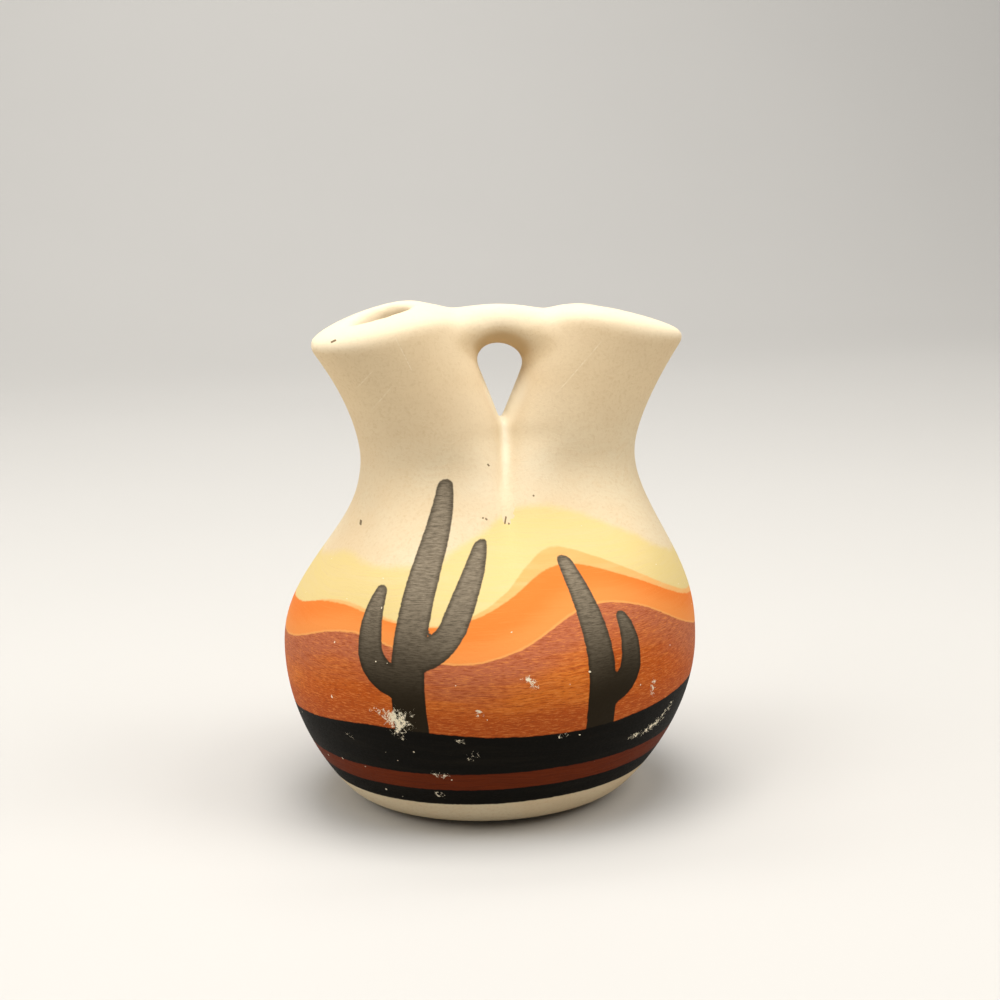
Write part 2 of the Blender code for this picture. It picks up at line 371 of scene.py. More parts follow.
def vase_mesh():
    """The surface of the field as a mesh of quads."""
    margin = MARGIN_CELLS * VOXEL
    low = np.array(CAD_LOW) - margin
    high = np.array(CAD_HIGH) + margin
    counts = np.ceil((high - low) / VOXEL).astype(int) + 1
    axes = [low[i] + VOXEL * np.arange(counts[i]) for i in range(3)]
    x, y, z = np.meshgrid(*axes, indexing="ij")
    values = vase_field(x, y, z, VOXEL)
    grid = openvdb.FloatGrid(margin)
    grid.copyFromArray(np.clip(values, -margin, margin).astype(np.float32))
    points, triangles, quads = grid.convertToPolygons(0.0, 0.0)
    points = low + VOXEL * np.asarray(points, dtype=float)
    faces = [tuple(int(i) for i in f) for f in list(triangles) + list(quads)]
    faces = main_body(faces, len(points))
    used = sorted({i for face in faces for i in face})
    place = dict(zip(used, range(len(used))))
    mesh = bpy.data.meshes.new("vase_skin")
    mesh.from_pydata(points[used].tolist(), [], [[place[i] for i in face] for face in faces])
    mesh.update()
    return mesh


# Painted design, in millimetres and in degrees from the front

# Millimetres in a metre
MILLIMETRES = 1000.0

# Tops of the stripes, and how much they rise towards +X
BARE_TOP = 8.8
BLACK_TOP = 13.6
RED_TOP = 18.4
STRIPE_TILT = 0.022

# Rows of hills: a height all round, then the height, place and tightness of each hill on it
YELLOW_HILLS = (61.0, ((16.5, 14, 5), (6.0, -62, 9), (14.0, 165, 4), (6.0, -125, 8)))
ORANGE_HILLS = (50.0, ((15.5, 22, 6), (7.0, -58, 8), (12.0, 158, 5), (5.0, -122, 8)))
RUST_HILLS = (42.5, ((15.0, 27, 7), (9.5, -50, 9), (11.0, 150, 6), (7.0, -118, 9)))
BLACK_GROUND = (27.5, ((3.2, -42, 6), (3.0, 66, 5), (2.0, 170, 4)))

# A thin first coat that shows above the orange: its rise, then the size, count and phase of waves
PEACH_RISE = 1.3
PEACH_WAVES = ((1.4, 2, 0.6), (0.8, 5, 0.0))

# Cacti: place, trunk and its widths, then the arms. An arm has its side, height, reach, elbow and
# top, then its widths. Widths are the half widths at both ends, and how late the stroke narrows
TALL_CACTUS = (
    -31,
    ((0.4, 23.0), (0.2, 39.0), (-0.2, 55.0), (-0.9, 70.0), (-1.6, 83.5)),
    (4.4, 1.7, 3.0),
    (
        ((-1, 41.0, 10.8, 9.5, 61.0), (3.7, 1.7, 3.5)),
        ((1, 47.5, 9.8, 8.5, 70.0), (3.5, 1.5, 3.5)),
    ),
)
SMALL_CACTUS = (
    21,
    ((0.0, 23.0), (0.0, 37.0), (0.3, 52.0), (0.9, 65.5)),
    (4.0, 1.8, 3.0),
    (((1, 36.5, 9.0, 8.0, 53.5), (3.4, 1.6, 3.5)),),
)
ELBOW_STEPS = 6

# Above the elbow, an arm's distance from the trunk as a share of its reach
ARM_BOW = ((0.2, 1.02), (0.4, 1.03), (0.6, 1.02), (0.8, 0.99), (1.0, 0.95))

# Places where the paint came off: the path of each, half widths at its two ends, and how crisply
# it ends. Degrees count along a circle of the radius given
CHIP_RADIUS = 45.0
CHIPS = (
    ([(-41.0, 34.2), (-37.0, 32.8), (-33.5, 31.6)], 0.3, 2.0, 1.0),
    ([(-36.0, 32.8), (-34.5, 28.0)], 2.0, 0.2, 1.0),
    ([(-36.0, 32.0), (-31.0, 34.2)], 1.2, 0.4, 1.0),
    ([(34.0, 22.6), (40.0, 23.0), (46.0, 24.2), (52.0, 27.5)], 0.5, 0.8, 2.5),
    ([(42.0, 23.4), (48.0, 24.8)], 1.1, 1.0, 2.0),
    ([(39.0, 36.8), (39.4, 32.8)], 0.7, 0.6, 3.0),
    ([(0.0, 42.6), (1.8, 41.4)], 0.9, 0.9, 2.5),
    ([(9.4, 27.3), (10.8, 27.8)], 0.8, 0.7, 3.0),
    ([(-26.5, 18.0), (-23.0, 17.6)], 0.7, 0.6, 3.0),
    ([(-26.8, 11.7), (-25.2, 11.3)], 0.8, 0.6, 3.0),
    ([(-13.0, 35.2), (-12.0, 34.8)], 0.7, 0.7, 3.5),
    ([(-52.6, 25.7), (-51.4, 25.3)], 0.6, 0.6, 3.5),
    ([(-17.6, 27.6), (-16.4, 27.4)], 0.6, 0.6, 3.5),
    ([(-16.0, 23.0), (-13.5, 24.0)], 0.5, 0.7, 3.0),
    ([(118.0, 33.0), (121.0, 31.0)], 1.2, 0.6, 1.5),
    ([(-150.0, 27.0), (-147.0, 28.5)], 0.9, 0.9, 2.0),
)

# Values of a map far outside its paint
FAR_OUT = -99.0
UNPAINTED = -30.0

# Painted highlights: paler clay on top, on the lips and beside the gap, where light falls: how
# much, then where it begins and is full, in metres or by how far the surface faces up
TOP_HIGHLIGHT = 0.40
TOP_HIGHLIGHT_FACING = (0.05, 0.70)
TOP_HIGHLIGHT_HEIGHT = (0.100, 0.112)
LIP_HIGHLIGHT = 0.45
LIP_HIGHLIGHT_FACING = (-0.35, 0.15)
LIP_HIGHLIGHT_RISE = (-0.0022, 0.0028)
GAP_HIGHLIGHT_CURVE = 1.4
GAP_HIGHLIGHT_WIDTH = (0.0008, 0.0018)
GAP_HIGHLIGHT_HEIGHT = (0.112, 0.102)
GAP_GLOW_LIGHT = 0.25
GAP_GLOW_LIGHT_WIDTH = 0.0110
GAP_GLOW_LIGHT_HEIGHT = (0.074, 0.084)

# Painted shade: tan clay under the bridge, where the surface faces down
UNDER_SHADE_FACING = (-0.05, -0.65)
UNDER_SHADE_HEIGHT = (0.106, 0.114)
UNDER_SHADE_REACH = (0.016, 0.008)


def hill_line(theta, hills):
    """The height of a row of smooth hills around the vase."""
    level, humps = hills
    for height, centre, tightness in humps:
        level = level + height * np.exp(tightness * (np.cos(theta - np.radians(centre)) - 1.0))
    return level


def stroke(u, v, path, width_start, width_end, taper=1.0):
    """How far inside a brush stroke along a path, whose half width changes from start to end."""
    inside = np.full_like(u, FAR_OUT)
    whole = sum(math.dist(a, b) for a, b in zip(path, path[1:]))
    done = 0.0
    for (ua, va), (ub, vb) in zip(path, path[1:]):
        du, dv = ub - ua, vb - va
        length = math.hypot(du, dv)
        t = np.clip(((u - ua) * du + (v - va) * dv) / length ** 2, 0.0, 1.0)
        width = mix(width_start, width_end, ((done + t * length) / whole) ** taper)
        inside = np.maximum(inside, width - np.hypot(u - ua - t * du, v - va - t * dv))
        done += length
    return inside


def arm_path(side, low, out, bend, top):
    """The path of a cactus arm: out of the trunk, round an elbow, then up."""
    turns = [0.5 * math.pi * i / ELBOW_STEPS for i in range(ELBOW_STEPS + 1)]
    path = [(side * out * math.sin(a), low + bend * (1 - math.cos(a))) for a in turns]
    reach = top - low - bend
    for share, pull in ARM_BOW:
        path.append((side * out * pull, low + bend + share * reach))
    return path


def cactus(theta, around, height, shape):
    """How far inside a cactus, whose trunk and arms are one brush stroke each."""
    place, trunk, trunk_widths, arms = shape
    u = around * (theta - math.radians(place))
    inside = stroke(u, height, trunk, *trunk_widths)
    for bends, arm_widths in arms:
        inside = np.maximum(inside, stroke(u, height, arm_path(*bends), *arm_widths))
    return inside


def chipped(theta, height):
    """How far inside a place where the paint came off."""
    chips = np.full_like(theta, UNPAINTED)
    for path, start, end, crispness in CHIPS:
        middle = math.radians(path[0][0])
        turn = np.remainder(theta - middle + math.pi, 2 * math.pi) - math.pi
        millimetres = [(CHIP_RADIUS * (math.radians(a) - middle), b) for a, b in path]
        inside = stroke(CHIP_RADIUS * turn, height, millimetres, start, end)
        chips = np.maximum(chips, np.where(inside > 0, inside, crispness * inside))
    return chips


def painted_light(x, y, z, upward):
    """Painted light: paler clay as painted highlight, up to 1 on the lips, on top and along the
    gap, and down to -1 as painted shade under the bridge."""
    neck_x = np.abs(from_gap(x, z))
    _, _, above_rim = spout_field(neck_x, y, z)
    # Painted highlights on surfaces that face up at the top and on the lips
    top_highlight = TOP_HIGHLIGHT * ramp(upward, *TOP_HIGHLIGHT_FACING) * ramp(z, *TOP_HIGHLIGHT_HEIGHT)
    lip_highlight = LIP_HIGHLIGHT * ramp(above_rim, *LIP_HIGHLIGHT_RISE) * ramp(upward, *LIP_HIGHLIGHT_FACING)
    # Painted highlight along the gap and the crease below it, and a wider painted glow of light
    # lower down
    beside = np.maximum(neck_x - parting(z), 0.0)
    rise = above_crease(z)
    gap_highlight = rise ** GAP_HIGHLIGHT_CURVE * np.exp(-(beside / mix(*GAP_HIGHLIGHT_WIDTH, rise)) ** 2)
    glow = GAP_GLOW_LIGHT * ramp(z, *GAP_GLOW_LIGHT_HEIGHT) * np.exp(-(beside / GAP_GLOW_LIGHT_WIDTH) ** 2)
    gap_light = np.maximum(gap_highlight, glow) * ramp(z, *GAP_HIGHLIGHT_HEIGHT)
    # Painted shade under the bridge, where the surface faces down
    under = ramp(upward, *UNDER_SHADE_FACING) * ramp(z, *UNDER_SHADE_HEIGHT) * ramp(neck_x, *UNDER_SHADE_REACH)
    return np.maximum(np.maximum(top_highlight, lip_highlight), gap_light) - under


def paint_maps(points, normals):
    """Maps over the points of the skin. Each but the last holds how far, in millimetres, a point
    lies inside an area of the design or near the middle of a chip."""
    x, y, z = points.T
    theta = np.arctan2(x, -y)
    around = MILLIMETRES * np.hypot(x, y)
    height = MILLIMETRES * z
    level = height - STRIPE_TILT * MILLIMETRES * x
    turned = np.arctan2(x / half_width(z), -y / half_depth(z))
    orange = hill_line(theta, ORANGE_HILLS)
    peach = orange + PEACH_RISE
    for size, count, phase in PEACH_WAVES:
        peach = peach + size * np.sin(count * theta + phase)
    tall = cactus(theta, around, height, TALL_CACTUS)
    small = cactus(theta, around, height, SMALL_CACTUS)
    maps = {
        "yellow": hill_line(turned, YELLOW_HILLS) - height,
        "peach": peach - height,
        "orange": orange - height,
        "rust": hill_line(theta, RUST_HILLS) - height,
        "ground": hill_line(theta, BLACK_GROUND) - level,
        "red": RED_TOP - level,
        "black": BLACK_TOP - level,
        "bare": BARE_TOP - level,
        "cactus": np.maximum(tall, small),
        "chips": chipped(theta, height),
    }
    unpainted = (body_field(x, y, z) < -0.5 * WALL) | (z > CROTCH_HEIGHT)
    maps = {name: np.where(unpainted, UNPAINTED, value) for name, value in maps.items()}
    # Painted light on the clay: highlights up to 1, painted shade under the bridge down to -1
    maps["painted_light"] = painted_light(x, y, z, normals[:, 2])
    return maps


# Materials

class Graph:
    """Short calls that add shader nodes to a material."""

    def __init__(self, name):
        self.material = bpy.data.materials.new(name)
        self.material.use_nodes = True
        self.tree = self.material.node_tree
        self.shader = self.tree.nodes["Principled BSDF"]
        place = self.tree.nodes.new("ShaderNodeTexCoord")
        self.place = place.outputs["Object"]

    def node(self, kind, inputs, **settings):
        """A node with its settings, and with its inputs linked or set."""
        node = self.tree.nodes.new(kind)
        for key, value in settings.items():
            setattr(node, key, value)
        for key, value in inputs.items():
            if isinstance(value, bpy.types.NodeSocket):
                self.tree.links.new(value, node.inputs[key])
            else:
                node.inputs[key].default_value = value
        return node

    def math(self, operation, a, b=0.0, c=0.0):
        return self.node("ShaderNodeMath", {0: a, 1: b, 2: c}, operation=operation).outputs[0]

    def both(self, *values):
        """The product of several masks."""
        product = values[0]
        for value in values[1:]:
            product = self.math("MULTIPLY", product, value)
        return product

    def step(self, value, low, high, start=0.0, end=1.0):
        """A smooth step from start to end while the value goes from low to high."""
        inputs = {"Value": value, "From Min": low, "From Max": high, "To Min": start, "To Max": end}
        node = self.node("ShaderNodeMapRange", inputs, interpolation_type="SMOOTHSTEP")
        return node.outputs["Result"]

    def mix(self, factor, a, b):
        """A colour the factor's share of the way from a to b."""
        node = self.tree.nodes.new("ShaderNodeMix")
        node.data_type = "RGBA"
        for socket, value in ((0, factor), (6, a), (7, b)):
            if isinstance(value, bpy.types.NodeSocket):
                self.tree.links.new(value, node.inputs[socket])
            elif socket == 0:
                node.inputs[socket].default_value = value
            else:
                node.inputs[socket].default_value = (*value, 1.0)
        return node.outputs[2]

    def along(self, direction, origin=0.0):
        """How far a point lies along a direction."""
        inputs = {0: self.place, 1: direction}
        dot = self.node("ShaderNodeVectorMath", inputs, operation="DOT_PRODUCT")
        return self.math("SUBTRACT", dot.outputs["Value"], origin)

    def noise(self, scale, detail=3.0, roughness=0.55, distortion=0.0, place=None):
        """Noise of 0 to 1 whose cells per metre differ along X, Y and Z."""
        inputs = {0: place or self.place, 1: scale}
        stretched = self.node("ShaderNodeVectorMath", inputs, operation="MULTIPLY")
        inputs = {
            "Vector": stretched.outputs["Vector"], "Scale": 1.0, "Detail": detail,
            "Roughness": roughness, "Distortion": distortion,
        }
        return self.node("ShaderNodeTexNoise", inputs).outputs["Fac"]

    def swayed(self, direction, noise, amount):
        """The place of a point, moved along a direction by a noise of up to the amount."""
        inputs = {0: direction, "Scale": self.math("MULTIPLY", self.noise(*noise), amount)}
        move = self.node("ShaderNodeVectorMath", inputs, operation="SCALE").outputs["Vector"]
        inputs = {0: self.place, 1: move}
        return self.node("ShaderNodeVectorMath", inputs, operation="ADD").outputs["Vector"]

    def value(self, name):
        """One of the maps on the points of the mesh."""
        node = self.tree.nodes.new("ShaderNodeAttribute")
        node.attribute_name = name
        return node.outputs["Fac"]

    def scratch(self, start, end, width):
        """A fine straight mark on the front, between two points given as X and Z."""
        (xa, za), (xb, zb) = start, end
        length = math.hypot(xb - xa, zb - za)
        ux, uz = (xb - xa) / length, (zb - za) / length
        along = self.along((ux, 0.0, uz), xa * ux + za * uz)
        across = self.math("ABSOLUTE", self.along((-uz, 0.0, ux), za * ux - xa * uz))
        return self.both(
            self.step(across, width, 0.0),
            self.step(along, 0.0, MARK_FADE * length),
            self.step(along, length, (1.0 - MARK_FADE) * length),
            self.step(self.along((0.0, 1.0, 0.0)), *MARK_FRONT),
        )

    def scratches(self, marks, width):
        """Several such marks."""
        found = 0.0
        for start, end in marks:
            found = self.math("MAXIMUM", found, self.scratch(start, end, width))
        return found

    def set(self, socket, value):
        if isinstance(value, bpy.types.NodeSocket):
            self.tree.links.new(value, self.shader.inputs[socket])
        else:
            self.shader.inputs[socket].default_value = value


# Colours of the clay
CREAM = (0.735, 0.585, 0.372)
CREAM_NECK = (0.695, 0.592, 0.412)
CREAM_TAN = (0.67, 0.517, 0.324)
# Pale clay for the painted highlights, and for the scratches
CREAM_HIGHLIGHT_AND_SCRATCH = (0.92, 0.835, 0.660)
# Tan clay for the painted shade under the bridge
CREAM_UNDER_SHADE = (0.56, 0.400, 0.215)
CLAY_GRAIN = (0.58, 0.425, 0.250)
PLASTER = (0.84, 0.75, 0.56)
NICK = (0.20, 0.145, 0.085)

# Colours of the paint
YELLOW = (0.685, 0.540, 0.230)
YELLOW_DEEP = (0.640, 0.470, 0.165)
PEACH = (0.78, 0.370, 0.115)
ORANGE = (0.74, 0.196, 0.032)
ORANGE_PALE = (0.78, 0.278, 0.068)
RUST_DUSK = (0.430, 0.122, 0.056)
RUST = (0.470, 0.084, 0.008)
RUST_LOW = (0.420, 0.076, 0.011)
RUST_DARK = (0.300, 0.060, 0.012)
RUST_GLOW = (0.700, 0.200, 0.026)
RUST_STREAK = (0.700, 0.240, 0.058)
RED = (0.138, 0.021, 0.003)
RED_DARK = (0.095, 0.014, 0.002)
BLACK = (0.0030, 0.0024, 0.0012)
BLACK_THIN = (0.007, 0.0055, 0.003)
CACTUS = (0.018, 0.012, 0.005)
CACTUS_THIN = (0.255, 0.210, 0.150)

# Noises: cells per metre along X, Y and Z, then detail, roughness and distortion
CLAY_PATCHES = ((38, 38, 46), 3.0)
WIPE_SWAY = ((55, 55, 55), 2.0)
WIPES = ((260, 260, 1500), 3.0, 0.6)
CLAY_FLECKS = ((1300, 1300, 1200), 3.0, 0.6, 0.6)
RAGGED_EDGE = ((900, 900, 900), 2.0)
WAVY_EDGE = ((70, 70, 90), 2.0)
BRUSH_SWAY = ((30, 30, 50), 2.0)
BROAD_STROKES = ((45, 45, 620), 3.0, 0.6)
FINE_STROKES = ((110, 110, 3400), 4.0, 0.7)
BRISTLE_MARKS = ((520, 520, 4200), 3.0, 0.7)
PAINT_GRAIN = ((1900, 1900, 1900), 2.0, 0.6)
PAINT_PATCHES = ((30, 30, 40), 2.0)
FLAKES = ((760, 760, 900), 5.0, 0.85, 0.5)
SPECKS = ((900, 900, 900), 0.0)
PAPER_CLOUDS = ((3, 3, 3), 2.0)
NOISE_MIDDLE = 0.5

# How the hand that wiped the clay and the brush swayed: direction, and distance in metres
WIPE_DIRECTION = (0.35, 0.0, 1.0)
WIPE_SWAY_SIZE = 0.020
BRUSH_DIRECTION = (0.0, 0.0, 1.0)
BRUSH_SWAY_SIZE = 0.006

# Edges of the paint in millimetres: softness, raggedness and waviness
EDGES = {
    "yellow": (1.3, 0.8, 3.0),
    "peach": (0.25, 0.35, 1.2),
    "orange": (0.22, 0.3, 1.0),
    "rust": (0.20, 0.3, 0.8),
    "cactus": (0.16, 0.25, 0.3),
    "ground": (0.18, 0.3, 0.6),
    "red": (0.16, 0.25, 0.5),
    "black": (0.16, 0.25, 0.5),
    "bare": (0.16, 0.25, 0.4),
}
RUST_EDGE = 0.45
RUST_EDGE_STRENGTH = 0.6

# Marks on the front as two ends in X and Z: fine scratches, then a nick in the left lip and pits
SCRATCHES = (
    ((0.0155, 0.1040), (0.0280, 0.1180)),
    ((-0.0302, 0.1020), (-0.0250, 0.1085)),
    ((-0.0335, 0.1075), (-0.0290, 0.1130)),
    ((-0.0241, 0.1210), (-0.0198, 0.1115)),
)
SCRATCH_WIDTH = 0.00022
SCRATCH_STRENGTH = 0.40
PITS = (
    ((-0.0391, 0.1190), (-0.0376, 0.1198)),
    ((-0.0041, 0.0757), (-0.0035, 0.0753)),
    ((-0.0048, 0.0759), (-0.0044, 0.0757)),
    ((0.0015, 0.0757), (0.0007, 0.0738)),
    ((0.0016, 0.0741), (0.0020, 0.0739)),
    ((0.0085, 0.0802), (0.0089, 0.0799)),
    ((-0.0020, 0.0879), (-0.0014, 0.0872)),
    ((-0.0334, 0.0748), (-0.0338, 0.0735)),
)
PIT_WIDTH = 0.00032

# A mark fades over this share of its length at each end, and shows on the front alone
MARK_FADE = 0.2
MARK_FRONT = (-0.004, -0.008)

# Height over which the clay of the spouts turns into that of the neck
NECK_TONE = (0.108, 0.084)

# Flakes: how much the noise moves the edge of a chip in millimetres, and from where
FLAKE_SIZE = 15.0
FLAKE_SHIFT = -8.3
FLAKE_SOFTNESS = 0.15
SPECK_LEVEL = (0.872, 0.880)

# Relief of the surface: its depth in metres, its strength, then the share of each kind of mark
RELIEF_DEPTH = 0.0002
RELIEF_STRENGTH = 0.40
WIPE_RELIEF = 0.5
FLECK_RELIEF = 0.6
SCRATCH_RELIEF = -0.35
BRUSH_RELIEF = 0.5
LOSS_RELIEF = -1.2

# Finish
CLAY_ROUGHNESS = (0.74, 0.84)
PAINT_SMOOTHER = -0.16
SPECULAR = 0.07

# In the rows below, a pair says where a noise or a map begins to show and where it is full. Two
# more numbers say how strongly it shows at each of the two

# Tones of the clay
PATCH_TONE = (0.30, 0.72, 0.0, 0.8)
WIPE_TONE = (0.40, 0.72, 0.0, 0.40)
FLECK_TONE = (0.46, 0.74, 0.0, 0.42)
# Where the painted shade under the bridge begins and is full
UNDER_SHADE_TONE = (0.0, -1.0)
SCRATCH_BREAKS = (0.35, 0.60)

# Yellow, peach and orange paint
YELLOW_COVER = (0.25, 0.60, 0.74, 1.0)
YELLOW_COVER_BROAD = (0.2, 0.6, 0.8, 1.0)
YELLOW_STROKES = (0.46, 0.30, 0.0, 0.6)
PEACH_COVER = (0.25, 0.6, 0.55, 0.85)
ORANGE_LOW_WAVE = 3.0
ORANGE_LOW = (-5.0, 1.0, 0.0, 0.8)
ORANGE_STROKES = (0.50, 0.75, 0.0, 0.35)

# Rust paint, with depths in millimetres below the top of the hills and into the black ground, and
# the size of the waves in both
RUST_TOP_WAVE = 8.0
RUST_LOW_WAVE = 10.0
RUST_DUSK_END = (3.0, 14.0)
RUST_LOW_START = (-9.0, -2.0)
RUST_GLOW_TOP = (4.0, 12.0)
RUST_GLOW_BOTTOM = (-3.0, -8.0)
RUST_GLOW_PATCHES = (0.40, 0.62)
RUST_GLOW_STROKES = (0.32, 0.56)
RUST_GLOW_STRENGTH = 0.75
RUST_LIGHT_STROKES = (0.54, 0.72, 0.0, 0.34)
RUST_LIGHT_DEPTH = (2.0, 9.0, 0.4, 1.0)
RUST_DARK_STROKES = (0.46, 0.30, 0.0, 0.32)
RUST_LIGHT_GRAIN = (0.58, 0.74, 0.0, 0.20)
RUST_LIGHT_BRISTLES = (0.52, 0.64, 0.0, 0.60)
RUST_DARK_BRISTLES = (0.48, 0.36, 0.0, 0.75)

# Thin paint of the cacti, with heights in millimetres
THIN_WAVE = 10.0
THIN_HEIGHT = (40.0, 72.0)
THIN_BRISTLES = (0.30, 0.66, 0.40, 1.0)
THIN_INSIDE = (0.1, 1.3, 0.45, 1.0)

# Black and red paint, pits, and the grain that makes the surface rough
BLACK_STROKES = (0.45, 0.8)
RED_STROKES = (0.35, 0.65)
PIT_LEVEL = (0.15, 0.5)
ROUGH_GRAIN = (0.3, 0.7)


def clay_colour(g):
    """Cream clay with a fine grain, painted highlights on top, on the lips and beside the gap,
    painted shade under the bridge, and a few scratches. Also gives its relief."""
    patches = g.noise(*CLAY_PATCHES)
    wiped = g.noise(*WIPES, place=g.swayed(WIPE_DIRECTION, WIPE_SWAY, WIPE_SWAY_SIZE))
    flecks = g.noise(*CLAY_FLECKS)
    clay = g.mix(g.step(g.along((0.0, 0.0, 1.0)), *NECK_TONE), CREAM, CREAM_NECK)
    clay = g.mix(g.step(patches, *PATCH_TONE), clay, CREAM_TAN)
    clay = g.mix(g.step(wiped, *WIPE_TONE), clay, CREAM_TAN)
    clay = g.mix(g.step(flecks, *FLECK_TONE), clay, CLAY_GRAIN)
    # Painted shade under the bridge
    clay = g.mix(g.step(g.value("painted_light"), *UNDER_SHADE_TONE), clay, CREAM_UNDER_SHADE)
    # Painted highlights on top, on the lips and beside the gap
    clay = g.mix(g.value("painted_light"), clay, CREAM_HIGHLIGHT_AND_SCRATCH)
    marks = g.scratches(SCRATCHES, SCRATCH_WIDTH)
    pale_marks = g.both(marks, g.step(wiped, *SCRATCH_BREAKS), SCRATCH_STRENGTH)
    clay = g.mix(pale_marks, clay, CREAM_HIGHLIGHT_AND_SCRATCH)
    relief = g.math("MULTIPLY", flecks, FLECK_RELIEF)
    relief = g.math("MULTIPLY_ADD", wiped, WIPE_RELIEF, relief)
    return clay, g.math("MULTIPLY_ADD", marks, SCRATCH_RELIEF, relief)


def rust_colour(g, broad, fine, bristles, grain, patches):
    """The rust hills: dusky at the top, glowing in patches, with brush marks throughout."""
    top_wave = g.math("SUBTRACT", broad, NOISE_MIDDLE)
    depth = g.math("MULTIPLY_ADD", top_wave, RUST_TOP_WAVE, g.value("rust"))
    low_wave = g.math("SUBTRACT", patches, NOISE_MIDDLE)
    low = g.math("MULTIPLY_ADD", low_wave, RUST_LOW_WAVE, g.value("ground"))
    rust = g.mix(g.step(depth, *RUST_DUSK_END), RUST_DUSK, RUST)
    rust = g.mix(g.step(low, *RUST_LOW_START), rust, RUST_LOW)
    middle = g.both(g.step(depth, *RUST_GLOW_TOP), g.step(low, *RUST_GLOW_BOTTOM))
    in_patches = g.step(patches, *RUST_GLOW_PATCHES)
    glow = g.both(in_patches, middle, g.step(fine, *RUST_GLOW_STROKES), RUST_GLOW_STRENGTH)
    rust = g.mix(glow, rust, RUST_GLOW)
    light = g.both(g.step(fine, *RUST_LIGHT_STROKES), g.step(depth, *RUST_LIGHT_DEPTH))
    rust = g.mix(light, rust, RUST_STREAK)
    rust = g.mix(g.step(fine, *RUST_DARK_STROKES), rust, RUST_DARK)
    rust = g.mix(g.step(grain, *RUST_LIGHT_GRAIN), rust, RUST_STREAK)
    rust = g.mix(g.step(bristles, *RUST_LIGHT_BRISTLES), rust, RUST_STREAK)
    return g.mix(g.step(bristles, *RUST_DARK_BRISTLES), rust, RUST_DARK)


def cactus_colour(g, bristles, patches):
    """Black paint, worn thin towards the top, between its bristle marks and inside its edges."""
    height = g.along((0.0, 0.0, MILLIMETRES))
    thin = g.both(
        g.step(g.math("MULTIPLY_ADD", patches, THIN_WAVE, height), *THIN_HEIGHT),
        g.step(bristles, *THIN_BRISTLES),
        g.step(g.value("cactus"), *THIN_INSIDE),
    )
    return g.mix(thin, CACTUS, CACTUS_THIN)


